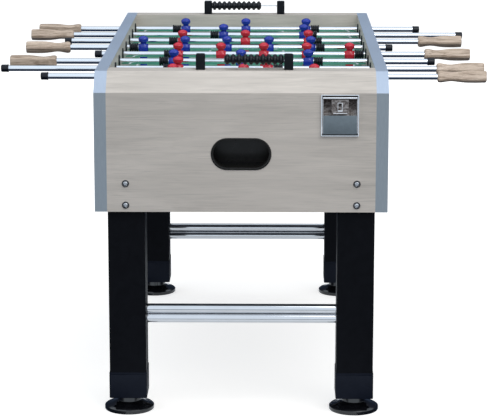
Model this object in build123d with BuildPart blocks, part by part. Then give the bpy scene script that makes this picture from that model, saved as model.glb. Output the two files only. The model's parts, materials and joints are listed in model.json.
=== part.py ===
"""Full-size home foosball table: eight playing rods in a bevelled cabinet on four levelling legs.

Frame: the origin is on the floor under the middle of the table, +Z up, +Y along the table,
and X along the rods. Each end is the other one turned half a turn about Z.
Lengths are in millimetres.
"""

from build123d import *
import os

# Driving dimensions of the whole table
TABLE_LENGTH = 1397.0
TABLE_WIDTH = 762.0
TABLE_HEIGHT = 914.0
CABINET_BOTTOM = 552.0
BEVEL_BOTTOM = 865.0
BEVEL_DEPTH = 57.0
DECK_DEPTH = 61.5
END = TABLE_LENGTH / 2
FIELD_END = END - BEVEL_DEPTH - DECK_DEPTH

# Boards
SIDE_BOARD = 32.0
END_BOARD = 16.0
DECK_BOARD = 16.0
GOAL_BOARD = 14.0
FIELD_BOARD = 12.0
TRIM = 1.0
SIDE_INNER = TABLE_WIDTH / 2 - SIDE_BOARD

# Playing rods, numbered from the +Y end
ROD_COUNT = 8
ROD_PITCH = 143.0
ROD_HEIGHT = 879.0
ROD_RADIUS = 8.0
ROD_WALL = 1.5
RUNNING = 0.05
MAN_PITCH = {2: 245.0, 3: 188.0, 5: 122.5}
MEN = [3, 2, 3, 5, 5, 3, 2, 3]
HANDLE_SIDE = [-1, -1, 1, -1, 1, -1, 1, 1]
REST_OFFSET = [-2.0, 54.0, 0.0, -52.0, 56.0, -7.0, -54.0, 4.0]
HANDLE_TURN = [4.0, 62.0, 38.0, 41.0, 33.0, 8.0, 30.0, 20.0]

# Men: the rod passes through the body, and the feet swing just above the field
MAN_REACH = 68.0
MAN_TOP = 34.5
FOOT_CLEARANCE = 5.0
FIELD_TOP = ROD_HEIGHT - MAN_REACH - FOOT_CLEARANCE

# Bumpers, bearings, caps and handles on the rods
BUMPER_START = 15.0
BUMPER_LENGTH = 25.5
BUMPER_RADIUS = 13.0
BEARING_FLANGE = 4.0
BEARING_FLANGE_RADIUS = 17.5
BEARING_RADIUS = 11.0
CAP_LENGTH = 20.5
CAP_RADIUS = 10.5
CAP_DEPTH = 17.0
CAP_ROUND = 3.5
CAP_REACH = 44.0
HANDLE_LENGTH = 129.5
HANDLE_CLEARANCE = 19.0
HANDLE_BORE = 105.0
STOP_GAP = 0.5

# Legs, boots and levellers
LEG = 97.0
LEG_X = SIDE_INNER - LEG / 2
LEG_Y = END - END_BOARD - LEG / 2
LEG_TOP = 660.0
BOOT_WALL = 1.5
BOOT_BOTTOM = 41.0
BOOT_TOP = 112.0
BOOT_FLOOR = 3.0
FOOT_RADIUS = 66.0
HUB_RADIUS = 33.0
STEM_RADIUS = 5.0
STEM_TOP = 92.0

# Stretcher tubes: the pair at the -Y end stands higher than the pair at the +Y end
TUBE_RADIUS = 12.7
TUBE_WALL = 1.5
TUBE_GAP = 0.4
TUBE_SOCKET = 12.0
TUBE_PAIR_HEIGHT = {-1: 263.0, 1: 201.0}

# Leg bolts
BOLT_HEIGHTS = [570.0, 627.0]
BOLT_RADIUS = 4.0
BOLT_LENGTH = 60.0
WASHER_RADIUS = 9.4
WASHER_THICKNESS = 2.0
BOLT_HEAD_RADIUS = 6.6
BOLT_HEAD = 3.5
BOLT_HEAD_ROUND = 1.6
SOCKET_RADIUS = 2.5
SOCKET_DEPTH = 2.2

# Ball return in each end, and the goal mouth above it
RETURN_WIDTH = 157.0
RETURN_HEIGHT = 84.0
RETURN_Z = 705.6
RETURN_LIP = 3.0
RETURN_WALL = 3.0
RETURN_PROUD = 1.5
HOPPER_HALF = 106.0
HOPPER_TOP = 800.0
HOPPER_FRONT = END - 24.0
HOPPER_BACK = FIELD_END + GOAL_BOARD + 1.0
GOAL_WIDTH = 200.0
GOAL_HEIGHT = 60.0

# Abacus scorers
SCORER_OFFSET = 8.0
SCORER_LENGTH = 254.0
POST_WIDTH = 24.0
POST_HEIGHT = 41.0
WIRE_HEIGHT = TABLE_HEIGHT + 26.0
WIRE_RADIUS = 1.6
BEADS = 10
BEAD_LENGTH = 15.5
BEAD_RADIUS = 14.2
BEAD_WAIST = 8.8
SCORER_Y = FIELD_END + DECK_DEPTH / 2

# Ashtrays
TRAY_X = 255.0
TRAY_FRAME_WIDTH = 97.0
TRAY_FRAME_BOTTOM = 754.0
TRAY_FRAME_TOP = 862.0
TRAY_FRAME_SHEET = 2.0
TRAY_PROUD = 8.0
TRAY_FRAME_DEPTH = 30.0
TRAY_PIVOT_Z = 761.0
TRAY_PIVOT_Y = END + 3.0
TRAY_PIN = 2.0
TRAY_WIDTH = 91.0
TRAY_SWING = 92.0
TRAY_SHEET = 1.5
TRAY_SPLIT = 808.0

os.makedirs("parts", exist_ok=True)


def save(part, name):
    """Label one finished piece and write it as its own STEP file."""
    part.label = name
    export_step(part, f"parts/{name}.step")


def rod_y(number):
    """Place along the table of one rod, counted from 1 at the +Y end."""
    return ((ROD_COUNT + 1) / 2 - number) * ROD_PITCH


def men_places(number):
    """Rest places across the table of the men on one rod."""
    count = MEN[number - 1]
    pitch = MAN_PITCH[count]
    return [REST_OFFSET[number - 1] + (i - (count - 1) / 2) * pitch for i in range(count)]


def rod_stroke(number):
    """How far one rod slides either way from the middle before a bumper meets a bearing."""
    spread = MAN_PITCH[MEN[number - 1]] * (MEN[number - 1] - 1) / 2
    return SIDE_INNER - BEARING_FLANGE - STOP_GAP - spread - BUMPER_START - BUMPER_LENGTH


def both_ends(piece):
    """Add one end's solid to the open part, and the same solid turned half a turn."""
    add(piece)
    add(piece.rotate(Axis.Z, 180))


def cabinet_outline(inset):
    """Side view of the cabinet as a closed outline, drawn in by an even inset."""
    drop = inset * (((BEVEL_DEPTH**2 + (TABLE_HEIGHT - BEVEL_BOTTOM) ** 2) ** 0.5) - BEVEL_DEPTH)
    drop = drop / (TABLE_HEIGHT - BEVEL_BOTTOM)
    run = inset * (((BEVEL_DEPTH**2 + (TABLE_HEIGHT - BEVEL_BOTTOM) ** 2) ** 0.5)
                   - (TABLE_HEIGHT - BEVEL_BOTTOM))
    run = run / BEVEL_DEPTH
    return [
        (-END + inset, CABINET_BOTTOM),
        (-END + inset, BEVEL_BOTTOM - drop),
        (-END + BEVEL_DEPTH + run, TABLE_HEIGHT - inset),
        (END - BEVEL_DEPTH - run, TABLE_HEIGHT - inset),
        (END - inset, BEVEL_BOTTOM - drop),
        (END - inset, CABINET_BOTTOM),
    ]


# ---------------------------------------------------------------- cabinet
for side, side_name in ((-1, "left"), (1, "right")):
    inner_face = Plane.YZ.offset(side * SIDE_INNER if side > 0 else -TABLE_WIDTH / 2)
    with BuildPart() as side_panel:
        with BuildSketch(inner_face) as board:
            with BuildLine():
                Polyline(*cabinet_outline(TRIM), close=True)
            make_face()
            with Locations(*[(rod_y(n), ROD_HEIGHT) for n in range(1, ROD_COUNT + 1)]):
                Circle(BEARING_RADIUS, mode=Mode.SUBTRACT)
        extrude(amount=SIDE_BOARD)
    save(side_panel.part, f"side_panel_{side_name}")

with BuildPart() as side_edge_trims:
    for start in (-TABLE_WIDTH / 2, SIDE_INNER):
        with BuildSketch(Plane.YZ.offset(start)):
            with BuildLine():
                Polyline(*cabinet_outline(0.0), *reversed(cabinet_outline(TRIM)), close=True)
            make_face()
        extrude(amount=SIDE_BOARD)
save(side_edge_trims.part, "side_edge_trims")

for side, end_name in ((-1, "front"), (1, "rear")):
    with BuildPart() as end_panel:
        with BuildSketch(Plane.XZ.offset(END - END_BOARD)):
            with Locations((0, (CABINET_BOTTOM + BEVEL_BOTTOM) / 2)):
                Rectangle(2 * SIDE_INNER, BEVEL_BOTTOM - CABINET_BOTTOM)
            with Locations((0, RETURN_Z)):
                SlotOverall(RETURN_WIDTH - 2 * RETURN_LIP, RETURN_HEIGHT - 2 * RETURN_LIP,
                            mode=Mode.SUBTRACT)
            with Locations((TRAY_X, (TRAY_FRAME_TOP + TRAY_FRAME_BOTTOM) / 2)):
                Rectangle(TRAY_FRAME_WIDTH, TRAY_FRAME_TOP - TRAY_FRAME_BOTTOM, mode=Mode.SUBTRACT)
            with Locations(*[(x, z) for x in (-LEG_X, LEG_X) for z in BOLT_HEIGHTS]):
                Circle(BOLT_RADIUS, mode=Mode.SUBTRACT)
        extrude(amount=END_BOARD)
    save(end_panel.part if side < 0 else end_panel.part.rotate(Axis.Z, 180), f"end_panel_{end_name}")

    bevel_length = (BEVEL_DEPTH**2 + (TABLE_HEIGHT - BEVEL_BOTTOM) ** 2) ** 0.5
    bevel_run = BEVEL_DEPTH / (TABLE_HEIGHT - BEVEL_BOTTOM)
    inner_foot = END - DECK_BOARD * bevel_length / (TABLE_HEIGHT - BEVEL_BOTTOM)
    inner_bend = inner_foot - (TABLE_HEIGHT - DECK_BOARD - BEVEL_BOTTOM) * bevel_run
    with BuildPart() as end_deck:
        with BuildSketch(Plane.YZ.offset(-SIDE_INNER)):
            with BuildLine():
                Polyline(
                    (-END, BEVEL_BOTTOM),
                    (-END + BEVEL_DEPTH, TABLE_HEIGHT),
                    (-FIELD_END, TABLE_HEIGHT),
                    (-FIELD_END, TABLE_HEIGHT - DECK_BOARD),
                    (-inner_bend, TABLE_HEIGHT - DECK_BOARD),
                    (-inner_foot, BEVEL_BOTTOM),
                    close=True,
                )
            make_face()
        extrude(amount=2 * SIDE_INNER)
    save(end_deck.part if side < 0 else end_deck.part.rotate(Axis.Z, 180), f"end_deck_{end_name}")

    goal_wall_bottom = HOPPER_TOP - 40.0
    with BuildPart() as goal_wall:
        with BuildSketch(Plane.XZ.offset(FIELD_END)):
            with Locations((0, (goal_wall_bottom + TABLE_HEIGHT - DECK_BOARD) / 2)):
                Rectangle(2 * SIDE_INNER, TABLE_HEIGHT - DECK_BOARD - goal_wall_bottom)
            with Locations((0, FIELD_TOP + GOAL_HEIGHT / 2)):
                Rectangle(GOAL_WIDTH, GOAL_HEIGHT, mode=Mode.SUBTRACT)
        extrude(amount=GOAL_BOARD)
    save(goal_wall.part if side < 0 else goal_wall.part.rotate(Axis.Z, 180), f"goal_wall_{end_name}")

with BuildPart() as playfield:
    with BuildSketch(Plane.XY.offset(FIELD_TOP - FIELD_BOARD)):
        Rectangle(2 * SIDE_INNER, 2 * FIELD_END)
    extrude(amount=FIELD_BOARD)
save(playfield.part, "playfield")

SUPPORT_PITCH = 380.0
SUPPORT_WIDTH = 40.0
SUPPORT_DEPTH = 20.0
with BuildPart() as playfield_supports:
    with BuildSketch(Plane.XY.offset(FIELD_TOP - FIELD_BOARD - SUPPORT_DEPTH)):
        with GridLocations(0, SUPPORT_PITCH, 1, 3):
            Rectangle(2 * SIDE_INNER, SUPPORT_WIDTH)
    extrude(amount=SUPPORT_DEPTH)
save(playfield_supports.part, "playfield_supports")

# Moulded ball return: an oval mouth in the end panel and an open-topped hopper behind it
with BuildPart() as return_cup:
    with BuildSketch(Plane.XY.offset(RETURN_Z - RETURN_HEIGHT / 2)):
        with Locations((0, -(HOPPER_FRONT + HOPPER_BACK) / 2)):
            Rectangle(2 * HOPPER_HALF, HOPPER_FRONT - HOPPER_BACK)
    extrude(amount=HOPPER_TOP - RETURN_Z + RETURN_HEIGHT / 2)
    hopper_rim = return_cup.faces().sort_by(Axis.Z)[-1]
    offset(amount=-RETURN_WALL, openings=hopper_rim)
    with BuildSketch(Plane.XZ.offset(HOPPER_FRONT - RETURN_WALL)):
        with Locations((0, RETURN_Z)):
            SlotOverall(RETURN_WIDTH - 2 * RETURN_LIP, RETURN_HEIGHT - 2 * RETURN_LIP)
    extrude(amount=END - HOPPER_FRONT + RETURN_WALL)
    with BuildSketch(Plane.XZ.offset(END)):
        with Locations((0, RETURN_Z)):
            SlotOverall(RETURN_WIDTH, RETURN_HEIGHT)
    extrude(amount=RETURN_PROUD)
    with BuildSketch(Plane.XZ.offset(HOPPER_FRONT - 2 * RETURN_WALL)):
        with Locations((0, RETURN_Z)):
            SlotOverall(RETURN_WIDTH - 4 * RETURN_LIP, RETURN_HEIGHT - 4 * RETURN_LIP)
    extrude(amount=END - HOPPER_FRONT + 3 * RETURN_WALL, mode=Mode.SUBTRACT)
with BuildPart() as ball_return_cups:
    both_ends(return_cup.part)
save(ball_return_cups.part, "ball_return_cups")

# ---------------------------------------------------------------- rod bearings
with BuildPart() as bearing:
    with BuildSketch(Plane.XY):
        Circle(BEARING_FLANGE_RADIUS)
        Circle(ROD_RADIUS + RUNNING, mode=Mode.SUBTRACT)
    extrude(amount=BEARING_FLANGE)
    with BuildSketch(Plane.XY.offset(BEARING_FLANGE)):
        Circle(BEARING_RADIUS)
        Circle(ROD_RADIUS + RUNNING, mode=Mode.SUBTRACT)
    extrude(amount=SIDE_BOARD)
    flange_edge = bearing.edges().filter_by(GeomType.CIRCLE).filter_by(
        lambda edge: abs(edge.radius - BEARING_FLANGE_RADIUS) < 0.01).sort_by(Axis.Z)[0]
    fillet(flange_edge, radius=1.5)

with BuildPart() as rod_bearings:
    for number in range(1, ROD_COUNT + 1):
        for side in (-1, 1):
            mount = Plane(
                origin=(side * (SIDE_INNER - BEARING_FLANGE), rod_y(number), ROD_HEIGHT),
                z_dir=(side, 0, 0),
            )
            add(mount.location * bearing.part)
save(rod_bearings.part, "rod_bearings")

# ---------------------------------------------------------------- one man, on a rod along X
MAN_WIDTH = 29.0
MAN_DEPTH = 22.0
CHEST_Z = 4.0
SHOULDER_Z = 9.0
SHOULDER_INSET = 8.0
WAIST_Z = -17.0
WAIST_INSET = 3.0
LEG_INSET = 5.0
ANKLE_Z = -51.0
ANKLE = (21.0, 10.0)
FOOT = (24.0, 13.0)
NECK_RADIUS = 8.2
NECK_TOP = 12.0
HEAD_RADIUS = 13.6
HEAD_RIM_Z = 18.0
with BuildPart() as man:
    with BuildSketch(Plane.XY.offset(WAIST_Z)):
        RectangleRounded(MAN_WIDTH - WAIST_INSET, MAN_DEPTH - WAIST_INSET, 6.0)
    with BuildSketch(Plane.XY.offset(CHEST_Z)):
        RectangleRounded(MAN_WIDTH, MAN_DEPTH, 7.0)
    loft()
    with BuildSketch(Plane.XY.offset(CHEST_Z)):
        RectangleRounded(MAN_WIDTH, MAN_DEPTH, 7.0)
    with BuildSketch(Plane.XY.offset(SHOULDER_Z)):
        RectangleRounded(MAN_WIDTH - SHOULDER_INSET, MAN_DEPTH - SHOULDER_INSET, 5.0)
    loft()
    with BuildSketch(Plane.XY.offset(-MAN_REACH)):
        RectangleRounded(*FOOT, 2.5)
    extrude(amount=MAN_REACH + ANKLE_Z)
    with BuildSketch(Plane.XY.offset(ANKLE_Z)):
        RectangleRounded(*ANKLE, 2.4)
    with BuildSketch(Plane.XY.offset(WAIST_Z)):
        RectangleRounded(MAN_WIDTH - LEG_INSET, MAN_DEPTH - LEG_INSET, 5.0)
    loft()
    with BuildSketch(Plane.XZ):
        with BuildLine():
            Polyline((0, CHEST_Z), (NECK_RADIUS, CHEST_Z), (NECK_RADIUS, NECK_TOP),
                     (HEAD_RADIUS, HEAD_RIM_Z))
            TangentArc((0, MAN_TOP), (HEAD_RADIUS, HEAD_RIM_Z), tangent=(1, 0))
            Line((0, MAN_TOP), (0, CHEST_Z))
        make_face()
    revolve(axis=Axis.Z)
    with BuildSketch(Plane.YZ.offset(-MAN_WIDTH)):
        Circle(ROD_RADIUS)
    extrude(amount=2 * MAN_WIDTH, mode=Mode.SUBTRACT)

# ---------------------------------------------------------------- one handle, along X from its tip
# Each station is (fraction of the length from the tip, width across the flats)
HANDLE_STATIONS = [
    (0.00, 26.0), (0.02, 28.0), (0.18, 29.0), (0.40, 28.0), (0.56, 24.0),
    (0.71, 20.0), (0.82, 23.0), (0.92, 27.5), (0.98, 26.0), (1.00, 23.0),
]
with BuildPart() as handle:
    for fraction, width in HANDLE_STATIONS:
        with BuildSketch(Plane.YZ.offset(fraction * HANDLE_LENGTH)) as station:
            Rectangle(width, width)
            chamfer(station.vertices(), length=0.14 * width)
    loft()
    with BuildSketch(Plane.YZ.offset(HANDLE_LENGTH - HANDLE_BORE)):
        Circle(ROD_RADIUS)
    extrude(amount=HANDLE_BORE, mode=Mode.SUBTRACT)

# ---------------------------------------------------------------- one rubber bumper and one end cap
# The bumper is a sleeve with a plain collar at each end and a rib inside each collar
BUMPER_GROOVE = 2.0
BUMPER_EDGE = 1.0
COLLAR = 5.0
RIB_START = 8.0
RIB_END = 12.0


def bumper_outline():
    """Half of the bumper's outline from its end face, as (radius, distance along the rod)."""
    groove = BUMPER_RADIUS - BUMPER_GROOVE
    return [
        (ROD_RADIUS + RUNNING, 0),
        (BUMPER_RADIUS - BUMPER_EDGE, 0),
        (BUMPER_RADIUS, BUMPER_EDGE),
        (BUMPER_RADIUS, COLLAR),
        (groove, COLLAR + BUMPER_EDGE),
        (groove, RIB_START),
        (BUMPER_RADIUS, RIB_START + BUMPER_EDGE),
        (BUMPER_RADIUS, RIB_END - BUMPER_EDGE),
        (groove, RIB_END),
    ]


with BuildPart() as bumper:
    with BuildSketch(Plane.XY):
        with BuildLine():
            first_half = bumper_outline()
            second_half = [(radius, BUMPER_LENGTH - along) for radius, along in reversed(first_half)]
            Polyline(*first_half, *second_half, close=True)
        make_face()
    revolve(axis=Axis.Y)

with BuildPart() as end_cap:
    Cylinder(CAP_RADIUS, CAP_LENGTH, align=(Align.CENTER, Align.CENTER, Align.MIN))
    fillet(end_cap.edges().sort_by(Axis.Z)[-1], radius=CAP_ROUND)
    with BuildSketch(Plane.XY):
        Circle(ROD_RADIUS + RUNNING)
    extrude(amount=CAP_DEPTH, mode=Mode.SUBTRACT)

# ---------------------------------------------------------------- the eight rods
for number in range(1, ROD_COUNT + 1):
    y = rod_y(number)
    places = men_places(number)
    grip = HANDLE_SIDE[number - 1]
    middle = REST_OFFSET[number - 1]
    reach = TABLE_WIDTH / 2 + rod_stroke(number)
    handle_start = middle + grip * (reach + HANDLE_CLEARANCE)
    cap_end = middle - grip * (reach + CAP_REACH)

    tube_a = handle_start + grip * HANDLE_BORE
    tube_b = cap_end + grip * (CAP_LENGTH - CAP_DEPTH + STOP_GAP)
    with BuildPart() as rod_tube:
        with BuildSketch(Plane(origin=(min(tube_a, tube_b), y, ROD_HEIGHT), z_dir=(1, 0, 0))):
            Circle(ROD_RADIUS)
            Circle(ROD_RADIUS - ROD_WALL, mode=Mode.SUBTRACT)
        extrude(amount=abs(tube_a - tube_b))
    save(rod_tube.part, f"rod_{number}_tube")

    with BuildPart() as rod_men:
        for x in places:
            add(man.part.moved(Location((x, y, ROD_HEIGHT))))
    save(rod_men.part, f"rod_{number}_men")

    turned_handle = handle.part.rotate(Axis.X, HANDLE_TURN[number - 1])
    if grip > 0:
        turned_handle = turned_handle.rotate(Axis.Z, 180)
    tip = handle_start + grip * HANDLE_LENGTH
    with BuildPart() as rod_handle:
        add(turned_handle.moved(Location((tip, y, ROD_HEIGHT))))
    save(rod_handle.part, f"rod_{number}_handle")

    with BuildPart() as rod_rubbers:
        for side, man_x in ((-1, places[0]), (1, places[-1])):
            start = Location((man_x + side * BUMPER_START, y, ROD_HEIGHT), (0, 0, -side * 90))
            add(bumper.part.moved(start))
        cap_mount = Plane(origin=(cap_end + grip * CAP_LENGTH, y, ROD_HEIGHT), z_dir=(-grip, 0, 0))
        add(cap_mount.location * end_cap.part)
    save(rod_rubbers.part, f"rod_{number}_rubbers")

# ---------------------------------------------------------------- legs
LEG_PLACES = [(-LEG_X, -LEG_Y), (LEG_X, -LEG_Y), (-LEG_X, LEG_Y), (LEG_X, LEG_Y)]
with BuildPart() as legs:
    with BuildSketch(Plane.XY.offset(BOOT_BOTTOM + BOOT_FLOOR)):
        with Locations(*LEG_PLACES):
            RectangleRounded(LEG, LEG, 2.0)
    extrude(amount=LEG_TOP - BOOT_BOTTOM - BOOT_FLOOR)
    with BuildSketch(Plane.XY.offset(BOOT_BOTTOM + BOOT_FLOOR)):
        with Locations(*LEG_PLACES):
            Circle(STEM_RADIUS + RUNNING)
    extrude(amount=STEM_TOP + STOP_GAP - BOOT_BOTTOM - BOOT_FLOOR, mode=Mode.SUBTRACT)
    for end, pair_height in TUBE_PAIR_HEIGHT.items():
        for z in (-1, 1):
            height = pair_height + z * (TUBE_RADIUS + TUBE_GAP / 2)
            with BuildSketch(Plane.YZ.offset(-LEG_X + LEG / 2 - TUBE_SOCKET)):
                with Locations((end * LEG_Y, height)):
                    Circle(TUBE_RADIUS)
            extrude(amount=2 * (LEG_X - LEG / 2 + TUBE_SOCKET), mode=Mode.SUBTRACT)
    for end in (-1, 1):
        bolt_face = Plane(origin=(0, end * (END - END_BOARD), 0), x_dir=(1, 0, 0), z_dir=(0, -end, 0))
        for z in BOLT_HEIGHTS:
            with BuildSketch(bolt_face):
                with Locations((-LEG_X, end * z), (LEG_X, end * z)):
                    Circle(BOLT_RADIUS)
            extrude(amount=BOLT_LENGTH - END_BOARD, mode=Mode.SUBTRACT)
save(legs.part, "legs")

with BuildPart() as leg_boots:
    with BuildSketch(Plane.XY.offset(BOOT_BOTTOM)):
        with Locations(*LEG_PLACES):
            RectangleRounded(LEG + 2 * BOOT_WALL, LEG + 2 * BOOT_WALL, 3.5)
    extrude(amount=BOOT_TOP - BOOT_BOTTOM)
    with BuildSketch(Plane.XY.offset(BOOT_BOTTOM + BOOT_FLOOR)):
        with Locations(*LEG_PLACES):
            RectangleRounded(LEG, LEG, 2.0)
    extrude(amount=BOOT_TOP - BOOT_BOTTOM, mode=Mode.SUBTRACT)
    with BuildSketch(Plane.XY.offset(BOOT_BOTTOM)):
        with Locations(*LEG_PLACES):
            Circle(STEM_RADIUS + STOP_GAP)
    extrude(amount=BOOT_FLOOR, mode=Mode.SUBTRACT)
save(leg_boots.part, "leg_boots")

# Leveller: a broad polished foot with a hub under the boot and a threaded stem up into the leg
HUB_GAP = 0.5
HUB_BASE = 24.0
HUB_TAPER = 2.0
RIM_EDGE = 2.0
RIM_HEIGHT = 10.0
RIM_ROUND = (FOOT_RADIUS - 1.5, 12.6)
CROWN_START = (FOOT_RADIUS - 4, 13.5)
CROWN_MIDDLE = (46.0, 17.5)
with BuildPart() as leveller:
    with BuildSketch(Plane.XZ):
        with BuildLine():
            Polyline((0, 0), (FOOT_RADIUS - RIM_EDGE, 0), (FOOT_RADIUS, RIM_EDGE),
                     (FOOT_RADIUS, RIM_HEIGHT))
            ThreePointArc((FOOT_RADIUS, RIM_HEIGHT), RIM_ROUND, CROWN_START)
            ThreePointArc(CROWN_START, CROWN_MIDDLE, (HUB_RADIUS, HUB_BASE))
            Polyline(
                (HUB_RADIUS, HUB_BASE),
                (HUB_RADIUS - HUB_TAPER, BOOT_BOTTOM - HUB_GAP),
                (STEM_RADIUS, BOOT_BOTTOM - HUB_GAP),
                (STEM_RADIUS, STEM_TOP),
                (0, STEM_TOP),
                (0, 0),
            )
        make_face()
    revolve(axis=Axis.Z)
for (x, y), place in zip(LEG_PLACES, ("front_left", "front_right", "rear_left", "rear_right")):
    with BuildPart() as leg_leveller:
        add(leveller.part.moved(Location((x, y, 0))))
    save(leg_leveller.part, f"leveller_{place}")

with BuildPart() as stretcher_tubes:
    for end, pair_height in TUBE_PAIR_HEIGHT.items():
        for z in (-1, 1):
            height = pair_height + z * (TUBE_RADIUS + TUBE_GAP / 2)
            with BuildSketch(Plane.YZ.offset(-LEG_X + LEG / 2 - TUBE_SOCKET)):
                with Locations((end * LEG_Y, height)):
                    Circle(TUBE_RADIUS)
                    Circle(TUBE_RADIUS - TUBE_WALL, mode=Mode.SUBTRACT)
            extrude(amount=2 * (LEG_X - LEG / 2 + TUBE_SOCKET))
save(stretcher_tubes.part, "stretcher_tubes")

# Leg bolt with its washer, drawn pointing along +Z with the washer's seat at the origin
HEAD_SEAT = -WASHER_THICKNESS - RUNNING
with BuildPart() as bolt:
    with BuildSketch(Plane.XY.offset(HEAD_SEAT)):
        Circle(BOLT_RADIUS)
    extrude(amount=BOLT_LENGTH - HEAD_SEAT)
    with BuildSketch(Plane.XY.offset(HEAD_SEAT)):
        Circle(BOLT_HEAD_RADIUS)
    extrude(amount=-BOLT_HEAD)
    fillet(bolt.faces().sort_by(Axis.Z)[0].edges(), radius=BOLT_HEAD_ROUND)
    with BuildSketch(Plane.XY.offset(HEAD_SEAT - BOLT_HEAD)):
        RegularPolygon(SOCKET_RADIUS, 6)
    extrude(amount=SOCKET_DEPTH, mode=Mode.SUBTRACT)
with BuildPart() as washer:
    with BuildSketch(Plane.XY.offset(-WASHER_THICKNESS)):
        Circle(WASHER_RADIUS)
        Circle(BOLT_RADIUS + RUNNING, mode=Mode.SUBTRACT)
    extrude(amount=WASHER_THICKNESS)
with BuildPart() as leg_bolts:
    for end in (-1, 1):
        for x in (-LEG_X, LEG_X):
            for z in BOLT_HEIGHTS:
                seat = Plane(origin=(x, end * END, z), z_dir=(0, -end, 0))
                add(seat.location * bolt.part)
                add(seat.location * washer.part)
save(leg_bolts.part, "leg_bolts")

# ---------------------------------------------------------------- abacus scorers
POST_X = (SCORER_LENGTH - POST_WIDTH) / 2
with BuildPart() as front_posts:
    with BuildSketch(Plane.XY.offset(TABLE_HEIGHT)):
        with Locations((SCORER_OFFSET - POST_X, -SCORER_Y), (SCORER_OFFSET + POST_X, -SCORER_Y)):
            RectangleRounded(POST_WIDTH, POST_WIDTH, 1.5)
    extrude(amount=POST_HEIGHT)
    with BuildSketch(Plane.YZ.offset(SCORER_OFFSET - POST_X)):
        with Locations((-SCORER_Y, WIRE_HEIGHT)):
            Circle(WIRE_RADIUS)
    extrude(amount=2 * POST_X, mode=Mode.SUBTRACT)
with BuildPart() as scorer_posts:
    both_ends(front_posts.part)
save(scorer_posts.part, "scorer_posts")

with BuildPart() as front_wire:
    with BuildSketch(Plane.YZ.offset(SCORER_OFFSET - POST_X)):
        with Locations((-SCORER_Y, WIRE_HEIGHT)):
            Circle(WIRE_RADIUS)
    extrude(amount=2 * POST_X)
with BuildPart() as scorer_wires:
    both_ends(front_wire.part)
save(scorer_wires.part, "scorer_wires")

BEAD_HUB = 2.5
BEAD_CROWN = 1.6
BEAD_SHOULDER = 1.0
BEAD_GAP = 0.05
BEADS_START = SCORER_OFFSET + POST_X - POST_WIDTH / 2 - STOP_GAP


def bead_outline():
    """Half of a bead's outline from its end face, as (radius, distance along the wire)."""
    crown_start = (BEAD_LENGTH - BEAD_CROWN) / 2
    return [
        (WIRE_RADIUS + 2 * RUNNING, 0),
        (BEAD_WAIST, 0),
        (BEAD_WAIST, BEAD_HUB),
        (BEAD_RADIUS - BEAD_SHOULDER, crown_start - BEAD_SHOULDER),
        (BEAD_RADIUS, crown_start),
    ]


with BuildPart() as bead:
    with BuildSketch(Plane.XY):
        with BuildLine():
            first_half = bead_outline()
            second_half = [(radius, BEAD_LENGTH - along) for radius, along in reversed(first_half)]
            Polyline(*first_half, *second_half, close=True)
        make_face()
    revolve(axis=Axis.Y)
with BuildPart() as front_beads:
    for i in range(BEADS):
        x = BEADS_START - i * (BEAD_LENGTH + BEAD_GAP)
        add(bead.part.moved(Location((x, -SCORER_Y, WIRE_HEIGHT), (0, 0, 90))))
save(front_beads.part, "scorer_beads_front")
save(front_beads.part.rotate(Axis.Z, 180), "scorer_beads_rear")

# ---------------------------------------------------------------- ashtrays
FRAME_FRONT = END + TRAY_PROUD - TRAY_SHEET
frame_middle_z = (TRAY_FRAME_TOP + TRAY_FRAME_BOTTOM) / 2
frame_height = TRAY_FRAME_TOP - TRAY_FRAME_BOTTOM
frame_sheets = 2 * TRAY_FRAME_SHEET
with BuildPart() as tray_frame:
    with BuildSketch(Plane.XZ.offset(END - TRAY_FRAME_DEPTH)):
        with Locations((TRAY_X, frame_middle_z)):
            Rectangle(TRAY_FRAME_WIDTH, frame_height)
            Rectangle(TRAY_FRAME_WIDTH - frame_sheets, frame_height - frame_sheets, mode=Mode.SUBTRACT)
    extrude(amount=FRAME_FRONT - END + TRAY_FRAME_DEPTH)
    with BuildSketch(Plane.YZ.offset(TRAY_X - TRAY_FRAME_WIDTH / 2 + TRAY_FRAME_SHEET / 2)):
        with Locations((-TRAY_PIVOT_Y, TRAY_PIVOT_Z)):
            Circle(TRAY_PIN)
    extrude(amount=TRAY_FRAME_WIDTH - TRAY_FRAME_SHEET)
with BuildPart() as ashtray_brackets:
    both_ends(tray_frame.part)
save(ashtray_brackets.part, "ashtray_brackets")

# The tray is a bin whose back is an arc about its hinge pin, so that it tips out past the frame.
# A snuffer tab stands up from its front plate, over a slot.
TRAY_ARC = 34.0
TRAY_START = TRAY_X - TRAY_WIDTH / 2
TRAY_FRONT = TRAY_PIVOT_Y - END - TRAY_PROUD
TRAY_FLOOR = -3.5
TRAY_CORNER = 3.0
TRAY_FLOOR_DEPTH = 22.0
SNUFFER_WIDTH = 44.0
SNUFFER_TOP = 850.0
SNUFFER_SLOT_WIDTH = 34.0
SNUFFER_SLOT_HEIGHT = 3.0
SNUFFER_HOLE = 7.0
SNUFFER_HOLE_Z = 836.0


def tray_outline(inset):
    """Draw the bin's side view about its hinge pin: flat front, arc back, cut-off front corner."""
    radius = TRAY_SWING - inset
    front = TRAY_FRONT + inset
    floor = TRAY_FLOOR + inset
    rim = (front, (radius**2 - front**2) ** 0.5)
    arc_middle = (Vector(0, radius).rotate(Axis.Z, -TRAY_ARC / 2).X,
                  Vector(0, radius).rotate(Axis.Z, -TRAY_ARC / 2).Y)
    arc_end = (Vector(0, radius).rotate(Axis.Z, -TRAY_ARC).X,
               Vector(0, radius).rotate(Axis.Z, -TRAY_ARC).Y)
    ThreePointArc(rim, arc_middle, arc_end)
    Polyline(arc_end, (TRAY_FLOOR_DEPTH - inset, floor), (front + TRAY_CORNER, floor),
             (front, floor + TRAY_CORNER), rim)


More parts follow.
